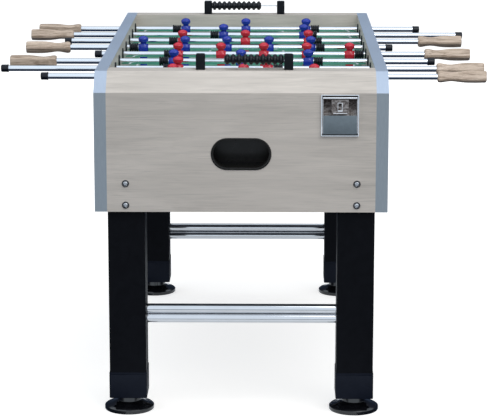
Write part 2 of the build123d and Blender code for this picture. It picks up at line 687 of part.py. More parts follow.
with BuildPart() as tray:
    bin_side = Plane(origin=(TRAY_START, -TRAY_PIVOT_Y, TRAY_PIVOT_Z), x_dir=(0, 1, 0), z_dir=(1, 0, 0))
    with BuildSketch(bin_side):
        with BuildLine():
            tray_outline(0.0)
        make_face()
    extrude(amount=TRAY_WIDTH)
    with BuildSketch(bin_side.offset(TRAY_SHEET)):
        with BuildLine():
            tray_outline(TRAY_SHEET)
        make_face()
    extrude(amount=TRAY_WIDTH - 2 * TRAY_SHEET, mode=Mode.SUBTRACT)
    with BuildSketch(Plane.XZ.offset(END + TRAY_PROUD - TRAY_SHEET)):
        with Locations((TRAY_X, TRAY_SPLIT + TRAY_SWING / 2)):
            Rectangle(TRAY_WIDTH - 2 * TRAY_SHEET, TRAY_SWING)
        with Locations((TRAY_X, (TRAY_SPLIT + SNUFFER_TOP) / 2)):
            Rectangle(SNUFFER_WIDTH, SNUFFER_TOP - TRAY_SPLIT, mode=Mode.SUBTRACT)
        with Locations((TRAY_X, TRAY_SPLIT + SNUFFER_SLOT_HEIGHT / 2)):
            Rectangle(SNUFFER_SLOT_WIDTH, SNUFFER_SLOT_HEIGHT)
        with Locations((TRAY_X, SNUFFER_HOLE_Z)):
            Rectangle(SNUFFER_HOLE, SNUFFER_HOLE)
    extrude(amount=TRAY_SHEET, mode=Mode.SUBTRACT)
    with BuildSketch(bin_side):
        Circle(TRAY_PIN + RUNNING)
    extrude(amount=TRAY_WIDTH, mode=Mode.SUBTRACT)
save(tray.part, "ashtray_tray_front")
save(tray.part.rotate(Axis.Z, 180), "ashtray_tray_rear")
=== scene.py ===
"""Looks of a full-size foosball table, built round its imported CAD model.

The scene is in metres, with +Z up and +X along the rods. The mesh helpers take millimetres.
"""

import json
import math

import bmesh
import bpy
from mathutils import Matrix, Vector

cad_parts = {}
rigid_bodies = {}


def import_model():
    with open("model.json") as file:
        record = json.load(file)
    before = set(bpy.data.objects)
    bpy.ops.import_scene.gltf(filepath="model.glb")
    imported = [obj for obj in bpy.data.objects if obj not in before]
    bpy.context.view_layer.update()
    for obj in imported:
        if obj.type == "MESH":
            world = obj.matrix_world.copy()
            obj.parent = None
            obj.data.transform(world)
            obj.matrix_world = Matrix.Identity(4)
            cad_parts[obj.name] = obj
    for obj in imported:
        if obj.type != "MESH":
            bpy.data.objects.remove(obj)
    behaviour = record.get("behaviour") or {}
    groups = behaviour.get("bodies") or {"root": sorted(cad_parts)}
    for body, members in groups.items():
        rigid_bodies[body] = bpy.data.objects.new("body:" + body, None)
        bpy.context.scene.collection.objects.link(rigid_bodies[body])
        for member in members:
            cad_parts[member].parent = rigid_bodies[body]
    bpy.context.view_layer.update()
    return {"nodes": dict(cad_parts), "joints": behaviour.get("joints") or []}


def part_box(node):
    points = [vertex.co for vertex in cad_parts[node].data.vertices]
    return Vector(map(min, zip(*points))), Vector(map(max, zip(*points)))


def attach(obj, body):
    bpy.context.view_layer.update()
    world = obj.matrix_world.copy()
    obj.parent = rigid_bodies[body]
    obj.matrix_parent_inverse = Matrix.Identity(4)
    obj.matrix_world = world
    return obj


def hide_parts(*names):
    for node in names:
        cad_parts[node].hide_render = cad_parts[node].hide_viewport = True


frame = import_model()
MM = 0.001

# Driving sizes that the frame doesn't give by itself, in millimetres and degrees
MEN_ON_ROD = (3, 2, 3, 5, 5, 3, 2, 3)
HANDLE_TURN = (4.0, 62.0, 38.0, 41.0, 33.0, 8.0, 30.0, 20.0)
ROD_RADIUS = 8.0
ROD_WALL = 1.5
SIDE_INNER = 349.0
END = 698.5
TEAM = ("blue", "blue", "red", "blue", "red", "blue", "red", "red")
ENDS = (("front", -1), ("rear", 1))
SIDES = ((-1, "left"), (1, "right"))
MAN_PITCH = {2: 245.0, 3: 188.0, 5: 122.5}


# ---------------------------------------------------------------- node helpers
class Shader:
    """A new material with short ways to add and join its nodes."""

    def __init__(self, name):
        self.material = bpy.data.materials.new(name)
        self.material.use_nodes = True
        self.nodes = self.material.node_tree.nodes
        self.links = self.material.node_tree.links
        self.surface = self.nodes["Principled BSDF"]
        self.place = self.nodes.new("ShaderNodeTexCoord").outputs["Object"]

    def set(self, **values):
        for name, value in values.items():
            self.surface.inputs[name.replace("_", " ")].default_value = value

    def join(self, source, target):
        self.links.new(source, target)

    def stretch(self, x, y, z):
        """Object coordinates scaled along each axis."""
        mapping = self.nodes.new("ShaderNodeMapping")
        mapping.inputs["Scale"].default_value = (x, y, z)
        self.join(self.place, mapping.inputs["Vector"])
        return mapping.outputs["Vector"]

    def noise(self, vector, scale, detail=4.0, roughness=0.55, distortion=0.0):
        node = self.nodes.new("ShaderNodeTexNoise")
        node.inputs["Scale"].default_value = scale
        node.inputs["Detail"].default_value = detail
        node.inputs["Roughness"].default_value = roughness
        node.inputs["Distortion"].default_value = distortion
        self.join(vector, node.inputs["Vector"])
        return node.outputs["Fac"]

    def math(self, operation, a, b=0.0):
        node = self.nodes.new("ShaderNodeMath")
        node.operation = operation
        for socket, value in zip(node.inputs, (a, b)):
            if isinstance(value, (int, float)):
                socket.default_value = value
            else:
                self.join(value, socket)
        return node.outputs[0]

    def spread(self, source, low, high, to_low=0.0, to_high=1.0):
        """Source from low..high to to_low..to_high, clamped."""
        node = self.nodes.new("ShaderNodeMapRange")
        limits = {"From Min": low, "From Max": high, "To Min": to_low, "To Max": to_high}
        for name, value in limits.items():
            node.inputs[name].default_value = value
        self.join(source, node.inputs["Value"])
        return node.outputs["Result"]

    def mix(self, factor, a, b):
        """Colour mix. A colour is a socket or an (r, g, b)."""
        node = self.nodes.new("ShaderNodeMix")
        node.data_type = "RGBA"
        sockets = (node.inputs["Factor"], node.inputs[6], node.inputs[7])
        for socket, value in zip(sockets, (factor, a, b)):
            if isinstance(value, tuple):
                socket.default_value = (*value, 1.0)
            elif isinstance(value, float):
                socket.default_value = value
            else:
                self.join(value, socket)
        return node.outputs[2]

    def colour(self, source):
        self.join(source, self.surface.inputs["Base Color"])

    def rough(self, source, low, high):
        """Roughness between low and high, led by a noise."""
        self.join(self.spread(source, 0.25, 0.75, low, high), self.surface.inputs["Roughness"])

    def bump(self, height, strength, distance):
        node = self.nodes.new("ShaderNodeBump")
        node.inputs["Strength"].default_value = strength
        node.inputs["Distance"].default_value = distance
        self.join(height, node.inputs["Height"])
        self.join(node.outputs["Normal"], self.surface.inputs["Normal"])

    def facing(self):
        """Components of the surface's own normal."""
        node = self.nodes.new("ShaderNodeSeparateXYZ")
        self.join(self.place.node.outputs["Normal"], node.inputs["Vector"])
        return node.outputs

    def axes(self):
        """Components of the object's own coordinates."""
        node = self.nodes.new("ShaderNodeSeparateXYZ")
        self.join(self.place, node.inputs["Vector"])
        return node.outputs


# ---------------------------------------------------------------- materials
def laminate(name, along, pale, dark, streak):
    """Printed ash laminate with its grain along X or Y, and a fine pressed texture."""
    s = Shader(name)
    stretched = (1.0, 9.0, 9.0) if along == "X" else (9.0, 1.0, 9.0)
    fine = tuple(v * (1.0 if v == 1.0 else 4.0) for v in stretched)
    bands = s.noise(s.stretch(*stretched), 3.4, 5.0, 0.6, 0.9)
    figure = s.noise(s.stretch(*stretched), 8.0, 6.0, 0.64, 1.8)
    pores = s.noise(s.stretch(*fine), 11.0, 3.0, 0.6)
    cloud = s.noise(s.place, 2.3, 2.0)
    colour = s.mix(s.spread(bands, 0.36, 0.64), dark, pale)
    colour = s.mix(s.spread(figure, 0.50, 0.62, 0.0, 0.72), colour, streak)
    colour = s.mix(s.spread(pores, 0.52, 0.70, 0.0, 0.45), colour, tuple(v * 0.66 for v in dark))
    colour = s.mix(s.spread(cloud, 0.35, 0.65, 0.0, 0.4), colour, tuple(v * 1.05 for v in pale))
    s.colour(colour)
    s.rough(figure, 0.42, 0.56)
    s.bump(s.math("ADD", pores, s.math("MULTIPLY", figure, 0.5)), 0.2, 0.0004)
    s.set(Specular_IOR_Level=0.35)
    return s.material


def edge_foil(name):
    """Silver-blue foil edge band, brushed along its length, with painted light: paler and bluer on the
    surfaces that face up as a painted sky reflection, and darker on the upright ones as painted shade.
    """
    s = Shader(name)
    across = s.noise(s.stretch(240.0, 6.0, 6.0), 6.0, 3.0, 0.7)
    cloud = s.noise(s.place, 5.0, 3.0)
    _, _, up = s.facing()
    # Painted shade on the upright faces and painted light with a painted sky reflection on the faces that
    # look up, blended by how far each faces up.
    upright = s.mix(s.spread(across, 0.3, 0.7), (0.238, 0.272, 0.300), (0.300, 0.340, 0.370))
    level = s.mix(s.spread(across, 0.3, 0.7), (0.400, 0.465, 0.565), (0.470, 0.540, 0.650))
    colour = s.mix(s.spread(up, 0.2, 0.7), upright, level)
    s.colour(s.mix(s.spread(cloud, 0.35, 0.7, 0.0, 0.25), colour, (0.300, 0.345, 0.395)))
    s.rough(across, 0.26, 0.40)
    s.bump(across, 0.08, 0.0003)
    s.set(Metallic=0.10, Specular_IOR_Level=0.6)
    return s.material


def chrome(name, tint, low=0.05, high=0.12, along=(3.0, 160.0, 160.0)):
    """Polished plating with a faint draw grain and uneven polish."""
    s = Shader(name)
    grain = s.noise(s.stretch(*along), 8.0, 3.0, 0.6)
    cloud = s.noise(s.place, 14.0, 3.0)
    s.colour(s.mix(s.spread(cloud, 0.3, 0.7), tint, tuple(v * 0.93 for v in tint)))
    s.rough(s.math("ADD", s.math("MULTIPLY", grain, 0.5), s.math("MULTIPLY", cloud, 0.5)), low, high)
    s.bump(grain, 0.03, 0.0002)
    s.set(Metallic=1.0)
    return s.material


def smoked(name):
    """Old plating inside an ash tray: brown smoke clouds over dulled chrome."""
    s = Shader(name)
    cloud = s.noise(s.stretch(1.0, 1.0, 1.6), 62.0, 4.0, 0.6, 1.4)
    soot = s.noise(s.place, 150.0, 3.0, 0.6, 0.6)
    colour = s.mix(s.spread(cloud, 0.40, 0.62), (0.115, 0.092, 0.082), (0.40, 0.365, 0.345))
    s.colour(s.mix(s.spread(soot, 0.50, 0.66, 0.0, 0.6), colour, (0.060, 0.048, 0.044)))
    s.rough(cloud, 0.30, 0.44)
    s.bump(soot, 0.12, 0.0004)
    s.set(Metallic=0.85)
    return s.material


def satin(name, tint, low, high):
    """Satin plating with soft clouds."""
    s = Shader(name)
    grain = s.noise(s.place, 180.0, 3.0, 0.6)
    cloud = s.noise(s.place, 45.0, 3.0, 0.6)
    s.colour(s.mix(s.spread(cloud, 0.35, 0.65), tint, tuple(v * 0.88 for v in tint)))
    s.rough(grain, low, high)
    s.bump(grain, 0.06, 0.0002)
    s.set(Metallic=0.3)
    return s.material


def moulded(name, base, accent, low, high, grain=900.0, depth=0.10, coat=0.0, shine=0.5):
    """Moulded plastic or rubber: fine texture, faint flow marks and uneven gloss."""
    s = Shader(name)
    texture = s.noise(s.place, grain, 2.0, 0.5)
    flow = s.noise(s.place, 38.0, 4.0, 0.6, 0.8)
    s.colour(s.mix(s.spread(flow, 0.35, 0.7), base, accent))
    s.rough(flow, low, high)
    s.bump(texture, depth, 0.0002)
    s.set(Coat_Weight=coat, Coat_Roughness=0.06, Specular_IOR_Level=shine)
    return s.material


def handle_wood(name):
    """Sanded, clear-varnished hardwood with its grain along the handle and rings at the ends."""
    s = Shader(name)
    grain = s.noise(s.stretch(5.0, 70.0, 70.0), 3.0, 6.0, 0.62, 0.8)
    bands = s.noise(s.stretch(2.2, 20.0, 20.0), 4.0, 4.0, 0.55, 1.2)
    pores = s.noise(s.stretch(16.0, 330.0, 330.0), 6.0, 2.0, 0.6)
    colour = s.mix(s.spread(bands, 0.3, 0.7), (0.50, 0.370, 0.262), (0.69, 0.540, 0.415))
    colour = s.mix(s.spread(grain, 0.46, 0.62, 0.0, 0.8), colour, (0.25, 0.165, 0.108))
    colour = s.mix(s.spread(pores, 0.55, 0.70, 0.0, 0.5), colour, (0.20, 0.130, 0.085))
    s.colour(colour)
    s.rough(grain, 0.34, 0.50)
    s.bump(s.math("ADD", grain, pores), 0.14, 0.0004)
    s.set(Coat_Weight=0.15, Coat_Roughness=0.3)
    return s.material


# Markings of the playfield in metres from the middle of the sheet. An area is (half width, front line)
LINE_HALF = 3.2 * MM
LINE_SOFT = 0.5 * MM
CIRCLE_RADIUS = 0.1
PENALTY_AREA = (0.19, 0.37)
GOAL_AREA = (0.115, 0.48)
ARC_MIDDLE = 0.395
ARC_RADIUS = 0.085
ARC_STOP = 0.366
BORDER_X = 0.325
BORDER_Y = 0.563
BORDER_SIDE_STOP = 0.565
BORDER_END_STOP = 0.328
BORDER_FADE = 1.0 * MM


def stripe(s, distance):
    """White where the distance is within half a line's width."""
    size = s.math("ABSOLUTE", distance)
    return s.spread(size, LINE_HALF - LINE_SOFT, LINE_HALF + LINE_SOFT, 1.0, 0.0)


def within(s, distance, stop, fade=LINE_SOFT):
    """1 up to the stop and 0 past it."""
    return s.spread(distance, stop, stop + fade, 1.0, 0.0)


def area_outline(s, far_x, far_y, half_x, from_y):
    """Outline of an area that reaches the end line: two sides and a front."""
    start = from_y - LINE_HALF
    side = s.math("MULTIPLY", stripe(s, s.math("SUBTRACT", far_x, half_x)),
                  s.spread(far_y, start, start + LINE_SOFT))
    front = s.math("MULTIPLY", stripe(s, s.math("SUBTRACT", far_y, from_y)),
                   within(s, far_x, half_x + LINE_HALF))
    return s.math("MAXIMUM", side, front)


def ring_mark(s, x, along, radius):
    squares = s.math("ADD", s.math("MULTIPLY", x, x), s.math("MULTIPLY", along, along))
    return stripe(s, s.math("SUBTRACT", s.math("SQRT", squares), radius))


def field_markings(s):
    """White lines from 0 to 1: halfway line, circle, areas, arcs and border."""
    x, y, _ = s.axes()
    far_x = s.math("ABSOLUTE", x)
    far_y = s.math("ABSOLUTE", y)
    arc = ring_mark(s, x, s.math("SUBTRACT", far_y, ARC_MIDDLE), ARC_RADIUS)
    sides = stripe(s, s.math("SUBTRACT", far_x, BORDER_X))
    ends = stripe(s, s.math("SUBTRACT", far_y, BORDER_Y))
    marks = [
        stripe(s, y),
        ring_mark(s, x, y, CIRCLE_RADIUS),
        area_outline(s, far_x, far_y, *PENALTY_AREA),
        area_outline(s, far_x, far_y, *GOAL_AREA),
        s.math("MULTIPLY", arc, within(s, far_y, ARC_STOP)),
        s.math("MULTIPLY", sides, within(s, far_y, BORDER_SIDE_STOP, BORDER_FADE)),
        s.math("MULTIPLY", ends, within(s, far_x, BORDER_END_STOP, BORDER_FADE)),
    ]
    paint = marks[0]
    for mark in marks[1:]:
        paint = s.math("MAXIMUM", paint, mark)
    return paint


def field_green(name):
    """Printed green sheet with worn white markings on top, and pale board underneath, its paleness partly
    the board's own colour and partly painted light from the floor below.
    """
    s = Shader(name)
    wear = s.noise(s.place, 60.0, 5.0, 0.65)
    paint = s.math("MULTIPLY", field_markings(s), s.spread(wear, 0.28, 0.42, 0.72, 1.0))
    cloth = s.noise(s.place, 420.0, 2.0)
    cloud = s.noise(s.place, 6.0, 4.0)
    green = s.mix(s.spread(cloud, 0.3, 0.7), (0.030, 0.245, 0.140), (0.042, 0.315, 0.190))
    green = s.mix(s.spread(cloth, 0.4, 0.65, 0.0, 0.25), green, (0.024, 0.190, 0.108))
    _, _, up = s.facing()
    printed = s.mix(paint, green, (0.78, 0.80, 0.78))
    # The pale underside is partly painted light, standing in for light thrown up from the floor.
    board = s.mix(s.spread(cloud, 0.3, 0.7), (0.74, 0.71, 0.66), (0.82, 0.79, 0.74))
    s.colour(s.mix(s.spread(up, 0.3, 0.5), board, printed))
    s.rough(wear, 0.30, 0.44)
    s.bump(cloth, 0.06, 0.0002)
    s.set(Coat_Weight=0.2, Coat_Roughness=0.25)
    return s.material


ASH_PALE = (0.605, 0.535, 0.465)
ASH_DARK = (0.48, 0.425, 0.368)
ASH_STREAK = (0.525, 0.465, 0.40)
MATERIALS = {
    "ash_across": laminate("ash_laminate_across", "X", ASH_PALE, ASH_DARK, ASH_STREAK),
    "ash_along": laminate("ash_laminate_along", "Y", ASH_PALE, ASH_DARK, ASH_STREAK),
    "foil": edge_foil("edge_foil"),
    "rod": chrome("rod_chrome", (0.83, 0.86, 0.90)),
    # The stretcher chrome is tinted darker than the rod chrome: painted shade for the tubes under the table.
    "stretcher": chrome("stretcher_chrome", (0.68, 0.69, 0.71), 0.03, 0.07),
    "ashtray": chrome("ashtray_chrome", (0.74, 0.76, 0.79), 0.10, 0.20, (40.0, 40.0, 6.0)),
    "ashtray_face": satin("ashtray_face_plating", (0.165, 0.200, 0.220), 0.42, 0.56),
    "ashtray_inside": smoked("ashtray_inside_chrome"),
    # Painted highlight: near-white satin on the ashtray edges stands in for the light that rounded chrome
    # edges catch.
    "ashtray_edge_painted_highlight": satin("ashtray_plating_painted_highlight", (0.92, 0.93, 0.95), 0.24, 0.34),
    "wire": chrome("wire_steel", (0.72, 0.74, 0.77), 0.14, 0.24),
    "bolt": chrome("bolt_zinc", (0.46, 0.47, 0.49), 0.16, 0.28, (60.0, 60.0, 60.0)),
    "washer": chrome("washer_black", (0.05, 0.055, 0.06), 0.30, 0.45, (60.0, 60.0, 60.0)),
    "leg": moulded("leg_black", (0.0032, 0.0035, 0.0050), (0.0050, 0.0054, 0.0074), 0.40, 0.54,
                   grain=500.0, depth=0.14, shine=0.06),
    "boot": moulded("boot_plastic", (0.0044, 0.0062, 0.0120), (0.0066, 0.0086, 0.0155), 0.42, 0.54,
                    grain=1100.0, depth=0.2, shine=0.10),
    "foot": moulded("leveller_gloss", (0.003, 0.003, 0.004), (0.005, 0.005, 0.006), 0.05, 0.10,
                    grain=700.0, depth=0.01, coat=0.5, shine=0.45),
    "rubber": moulded("rubber_black", (0.004, 0.005, 0.009), (0.007, 0.009, 0.014), 0.22, 0.34,
                      grain=800.0, depth=0.12, coat=0.05, shine=0.28),
    "bearing": moulded("bearing_plastic", (0.006, 0.007, 0.009), (0.010, 0.011, 0.013), 0.36, 0.48,
                       grain=900.0, depth=0.12, shine=0.3),
    "scorer": moulded("scorer_plastic", (0.004, 0.005, 0.007), (0.007, 0.008, 0.011), 0.36, 0.48,
                      grain=1000.0, depth=0.16, shine=0.12),
    "bead": moulded("bead_plastic", (0.004, 0.005, 0.008), (0.006, 0.008, 0.012), 0.14, 0.22,
                    grain=700.0, depth=0.04, coat=0.15, shine=0.28),
    "cup": moulded("return_plastic", (0.0055, 0.0045, 0.0035), (0.0095, 0.0080, 0.0062), 0.24, 0.36,
                   grain=800.0, depth=0.08, coat=0.05, shine=0.25),
    "blue": moulded("men_blue", (0.007, 0.024, 0.290), (0.011, 0.034, 0.370), 0.12, 0.20,
                    grain=500.0, depth=0.04, coat=0.35, shine=0.35),
    "red": moulded("men_red", (0.520, 0.010, 0.028), (0.620, 0.016, 0.038), 0.12, 0.20,
                   grain=500.0, depth=0.04, coat=0.35, shine=0.35),
    "handle": handle_wood("handle_wood"),
    "field": field_green("field_green"),
}


# ---------------------------------------------------------------- mesh helpers
def finish_piece(mesh, name, material, body, stands_for=(), sharp=32.0):
    """Shade a mesh, add it to the scene and hand it to its CAD body."""
    mesh.materials.append(MATERIALS[material])
    mesh.shade_smooth()
    mesh.set_sharp_from_angle(angle=math.radians(sharp))
    piece = bpy.data.objects.new(name, mesh)
    bpy.context.scene.collection.objects.link(piece)
    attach(piece, body)
    if stands_for:
        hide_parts(*stands_for)
    return piece


def mesh_of(name, vertices, faces, place):
    """Mesh from millimetre points set in place, with its normals outwards."""
    shape = bmesh.new()
    points = [shape.verts.new(place @ (Vector(v) * MM)) for v in vertices]
    for face in faces:
        shape.faces.new([points[i] for i in face])
    bmesh.ops.remove_doubles(shape, verts=shape.verts, dist=1e-6)
    bmesh.ops.recalc_face_normals(shape, faces=shape.faces)
    mesh = bpy.data.meshes.new(name)
    shape.to_mesh(mesh)
    shape.free()
    return mesh


def lathe(name, profile, place, segments=48):
    """Closed solid of revolution. The profile is (radius, height) round a loop, in millimetres."""
    vertices = []
    for radius, height in profile:
        for i in range(segments):
            turn = 2 * math.pi * i / segments
            vertices.append((radius * math.cos(turn), radius * math.sin(turn), height))
    count = len(profile)
    faces = []
    for k in range(count):
        for i in range(segments):
            a, b = k * segments, ((k + 1) % count) * segments
            j = (i + 1) % segments
            faces.append((a + i, a + j, b + j, b + i))
    return mesh_of(name, *clean(vertices, faces), place)


def clean(vertices, faces):
    """Drop corners that lie on one another, so that rings on the axis become fans."""
    kept = []
    for face in faces:
        corners = []
        for i in face:
            if not any((Vector(vertices[i]) - Vector(vertices[j])).length < 1e-6 for j in corners):
                corners.append(i)
        if len(corners) > 2:
            kept.append(tuple(corners))
    return vertices, kept


def rounded(points, radius, steps=4):
    """Closed outline with softened corners. A point may carry its own radius, and 0 keeps it sharp."""
    result = []
    count = len(points)
    for i, point in enumerate(points):
        here = Vector(point[:2])
        r = point[2] if len(point) > 2 else radius
        before = Vector(points[i - 1][:2]) - here
        after = Vector(points[(i + 1) % count][:2]) - here
        angle = before.angle(after)
        reach = min(r / math.tan(angle / 2), before.length * 0.49, after.length * 0.49) if r else 0.0
        if reach < 1e-6:
            result.append(tuple(here))
            continue
        start = here + before.normalized() * reach
        stop = here + after.normalized() * reach
        for k in range(steps + 1):
            t = k / steps
            spot = start * (1 - t) ** 2 + here * 2 * t * (1 - t) + stop * t**2
            result.append(tuple(spot))
    return result


def loft(name, rings, place):
    """Skin through rings of equal point count, closed at both ends."""
    vertices = [point for ring in rings for point in ring]
    n = len(rings[0])
    faces = []
    for k in range(len(rings) - 1):
        for i in range(n):
            j = (i + 1) % n
            faces.append((k * n + i, k * n + j, (k + 1) * n + j, (k + 1) * n + i))
    faces.append(tuple(range(n)))
    faces.append(tuple(range((len(rings) - 1) * n, len(rings) * n)))
    return mesh_of(name, *clean(vertices, faces), place)


def block(name, size, place, bevel):
    """Box with rounded edges, its middle at the place. Size in millimetres."""
    shape = bmesh.new()
    bmesh.ops.create_cube(shape, size=1.0)
    bmesh.ops.scale(shape, vec=Vector(size) * MM, verts=shape.verts)
    bmesh.ops.bevel(shape, geom=shape.edges, offset=bevel * MM, segments=3, profile=0.5,
                    affect="EDGES")
    bmesh.ops.transform(shape, matrix=place, verts=shape.verts)
    mesh = bpy.data.meshes.new(name)
    shape.to_mesh(mesh)
    shape.free()
    return mesh


def at(x, y, z, *turns):
    """Place in the shared frame, in millimetres, with turns of (axis, degrees)."""
    place = Matrix.Translation(Vector((x, y, z)) * MM)
    for axis, degrees in turns:
        place = place @ Matrix.Rotation(math.radians(degrees), 4, axis)
    return place


ALONG_X = ("Y", 90.0)


def millimetres(node):
    low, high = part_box(node)
    return low / MM, high / MM


# ---------------------------------------------------------------- CAD nodes that keep their shape
KEPT = {
    "ash_across": ("end_panel_front", "end_panel_rear", "end_deck_front", "end_deck_rear",
                   "goal_wall_front", "goal_wall_rear", "playfield_supports"),
    "ash_along": ("side_panel_left", "side_panel_right"),
    "foil": ("side_edge_trims",),
    "field": ("playfield",),
    "leg": ("legs",),
    "stretcher": ("stretcher_tubes",),
    "wire": ("scorer_wires",),
    "cup": ("ball_return_cups",),
    "ashtray": ("ashtray_brackets",),
}
for material, nodes in KEPT.items():
    for node in nodes:
        slots = frame["nodes"][node].data.materials
        for i in range(len(slots)):
            slots[i] = MATERIALS[material]


# ---------------------------------------------------------------- men
# Each ring of a man is (height from the rod, half width, half depth, squareness), in millimetres
MAN_RINGS = (
    (-68.0, 10.6, 5.4, 5.0), (-67.3, 11.6, 6.2, 5.0), (-65.0, 12.0, 6.5, 5.0), (-56.0, 11.4, 6.1, 5.0),
    (-52.6, 10.6, 5.4, 4.0), (-50.8, 9.8, 4.7, 3.0), (-48.0, 9.7, 4.8, 3.0), (-42.0, 10.2, 5.5, 2.8),
    (-36.0, 10.9, 6.3, 2.8), (-31.0, 11.0, 6.4, 2.8), (-27.0, 11.2, 6.6, 2.8), (-24.4, 11.6, 7.2, 2.8),
    (-24.0, 12.5, 8.2, 3.0), (-20.0, 13.0, 8.9, 3.0), (-14.6, 13.3, 9.5, 3.0), (-14.0, 12.8, 9.1, 3.0),
    (-13.2, 12.8, 9.1, 3.0), (-12.6, 13.6, 9.9, 3.0), (-6.0, 14.5, 10.6, 3.0), (-2.0, 14.8, 10.9, 3.0),
    (1.0, 14.6, 10.9, 2.8), (4.0, 13.8, 10.4, 2.5), (6.5, 12.6, 9.6, 2.3), (8.6, 11.2, 8.8, 2.1),
    (10.2, 9.6, 8.0, 2.0), (10.7, 9.4, 8.2, 2.0), (11.8, 9.4, 8.2, 2.0), (12.2, 8.2, 7.6, 2.0),
    (13.8, 8.2, 7.8, 2.0), (15.0, 9.8, 9.6, 2.2), (16.2, 11.2, 11.2, 2.3), (18.4, 12.6, 12.5, 2.2),
    (21.0, 13.5, 13.2, 2.1), (22.8, 13.8, 13.4, 2.0), (23.4, 14.5, 14.0, 2.0), (25.0, 14.7, 14.2, 2.0),
    (27.2, 14.0, 13.6, 2.0), (29.4, 12.4, 12.1, 2.0), (31.4, 9.9, 9.7, 2.0), (33.0, 6.8, 6.7, 2.0),
    (34.1, 3.2, 3.2, 2.0), (34.4, 0.5, 0.5, 2.0),
)
HAIR_FROM = 23.2
HAIR_LOCKS = 11
HAIR_DEPTH = 0.32
RING_POINTS = 40
RING_GAP = 1.5
# Each bump of a man is (centre, reach, height), and is mirrored across the middle
MAN_BUMPS = (
    ((9.5, -9.0, -1.5), 7.0, 1.5),
    ((13.5, 0.0, -1.0), 8.0, 0.3),
    ((0.0, -14.0, 19.8), 2.8, 1.3),
    ((4.8, -12.6, 21.6), 3.0, -0.9),
    ((0.0, -11.5, 16.9), 2.4, -0.5),
    ((12.5, 0.0, 20.0), 3.4, 0.9),
)


def superellipse(half_x, half_y, power, count, z):
    """Ring of points between an ellipse (power 2) and a rectangle."""
    ring = []
    for i in range(count):
        turn = 2 * math.pi * i / count
        c, s = math.cos(turn), math.sin(turn)
        x = half_x * math.copysign(abs(c) ** (2 / power), c)
        y = half_y * math.copysign(abs(s) ** (2 / power), s)
        ring.append((x, y, z))
    return ring


def swell(point, centre, reach, height):
    """How far a smooth bump at a centre lifts a point."""
    away = (Vector(point) - Vector(centre)).length / reach
    return height * max(0.0, 1.0 - away**2) ** 2


def man_ring(z, half_x, half_y, power):
    """Ring of the body, with folded arms and a plain moulded face at the front of the head."""
    ring = []
    for x, y, height in superellipse(half_x, half_y, power, RING_POINTS, z):
        side = math.copysign(1.0, x)
        out = 0.0
        for (bump_x, bump_y, bump_z), reach, rise in MAN_BUMPS:
            out += swell((x, y, height), (side * bump_x, bump_y, bump_z), reach, rise)
        if height > HAIR_FROM:
            out += HAIR_DEPTH * math.sin(HAIR_LOCKS * math.atan2(y, x) + height)
        length = math.hypot(x, y) or 1.0
        grown = 1.0 + out / length
        ring.append((x * grown, y * grown, height))
    return ring


def man_rings():
    """The body's rings with one more set between each pair, so that bumps come out smooth."""
    rings = []
    for here, after in zip(MAN_RINGS, MAN_RINGS[1:]):
        rings.append(man_ring(*here))
        if after[0] - here[0] > RING_GAP:
            rings.append(man_ring(*((a + b) / 2 for a, b in zip(here, after))))
    rings.append(man_ring(*MAN_RINGS[-1]))
    return rings


COLLAR_SEAT = 10.9
# Profiles to turn on a lathe are (radius, height, corner radius)
COLLAR = rounded([(7.0, 0.0), (10.4, 0.0), (10.4, 3.2), (7.0, 3.2)], 0.8)


def add_men(number, body, y, z):
    """The men of one rod, each with a collar where the rod enters at either side."""
    low, high = millimetres(f"rod_{number}_men")
    count = MEN_ON_ROD[number - 1]
    middle = (low.x + high.x) / 2
    colour = TEAM[number - 1]
    for i in range(count):
        x = middle + (i - (count - 1) / 2) * MAN_PITCH[count]
        name = f"rod_{number}_man_{i + 1}"
        mesh = loft(name, man_rings(), at(x, y, z, ("Z", 180.0 if colour == "blue" else 0.0)))
        finish_piece(mesh, name, colour, body, [f"rod_{number}_men"], 50.0)
        for side, place_name in SIDES:
            seat = at(x + side * COLLAR_SEAT, y, z, ("Y", 90.0 * side))
            collar = lathe(f"{name}_collar_{place_name}", COLLAR, seat, 32)
            finish_piece(collar, collar.name, colour, body)


# ---------------------------------------------------------------- handles, tubes and rubbers
# Each station of a handle is (share of the length from the tip, width across flats, chamfer share)
HANDLE_STATIONS = (
    (0.000, 24.4, 0.15), (0.006, 26.2, 0.15), (0.018, 27.4, 0.15), (0.050, 28.2, 0.15), (0.180, 29.0, 0.15),
    (0.300, 28.9, 0.15), (0.400, 28.4, 0.15), (0.480, 27.2, 0.16), (0.560, 25.2, 0.17), (0.640, 23.0, 0.18),
    (0.710, 22.0, 0.19), (0.770, 22.6, 0.18), (0.830, 24.4, 0.17), (0.880, 26.2, 0.16), (0.920, 27.4, 0.15),
    (0.955, 27.2, 0.15), (0.980, 25.8, 0.15), (0.994, 23.4, 0.15), (1.000, 20.6, 0.15),
)
HANDLE_EDGE = 1.5


def catmull_rom(a, b, c, d, t):
    """Value at share t of the way from b to c, with a before and d after."""
    return 0.5 * (2 * b + (c - a) * t + (2 * a - 5 * b + 4 * c - d) * t**2 + (3 * b - a - 3 * c + d) * t**3)


def curve_through(stations, steps):
    """Points along a smooth curve through the stations."""
    points = []
    last = len(stations) - 1
    for k in range(last):
        p0, p1 = stations[max(k - 1, 0)], stations[k]
        p2, p3 = stations[k + 1], stations[min(k + 2, last)]
        for i in range(steps):
            t = i / steps
            points.append(tuple(catmull_rom(*values, t) for values in zip(p0, p1, p2, p3)))
    points.append(stations[last])
    return points


def chamfered_square(width, share, x):
    """Ring across X: a square with chamfered corners, each edge a little rounded."""
    half = width / 2
    cut = half - share * width
    corners = []
    for sy, sz, flat_first in ((1, 1, True), (-1, 1, False), (-1, -1, True), (1, -1, False)):
        pair = [(sy * half, sz * cut), (sy * cut, sz * half)]
        corners += pair if flat_first else pair[::-1]
    return [(x, y, z) for y, z in rounded(corners, HANDLE_EDGE, 2)]


